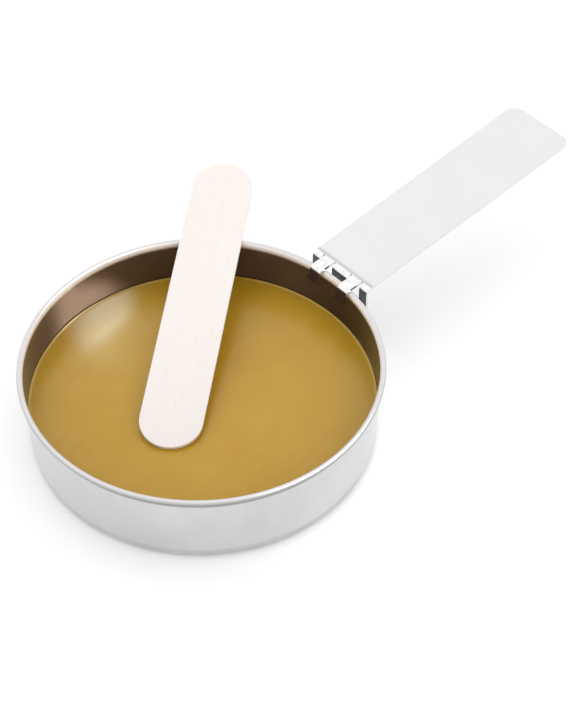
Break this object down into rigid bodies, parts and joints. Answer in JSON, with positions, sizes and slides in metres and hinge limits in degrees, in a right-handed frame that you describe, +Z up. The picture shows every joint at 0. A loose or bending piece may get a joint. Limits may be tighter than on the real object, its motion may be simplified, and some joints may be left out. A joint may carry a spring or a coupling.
{
  "type": "wax warmer pot",
  "caption": "Shallow round metal pan of hair-removal wax with a detachable stamped handle clipped to its rolled rim and a wooden spatula leaning on the rim.",
  "frame": {"origin": "centre of the pan's flat base, on the surface it stands on", "axes": "+Z up out of the pan, +X from the pan's centre along the handle"},
  "size_m": [0.1895, 0.1075, 0.0339],
  "materials": {
    "pan_metal": "satin outside, polished inside",
    "wax": "satin amber",
    "handle_metal": "satin blade, bright bends",
    "birch": "unfinished pale birch"
  },
  "bodies": {
    "pan": {"pan_shell": "pan_metal", "wax_fill": "wax"},
    "handle": {"handle": "handle_metal"},
    "spatula": {"spatula": "birch"}
  },
  "joints": [
    {"name": "handle_lift", "type": "slide", "parent": "pan", "child": "handle", "axis": [0, 0, 1], "range_m": [0, 0.03]},
    {"name": "spatula_lift", "type": "slide", "parent": "pan", "child": "spatula", "axis": [0, 0, 1], "range_m": [0, 0.04]}
  ]
}
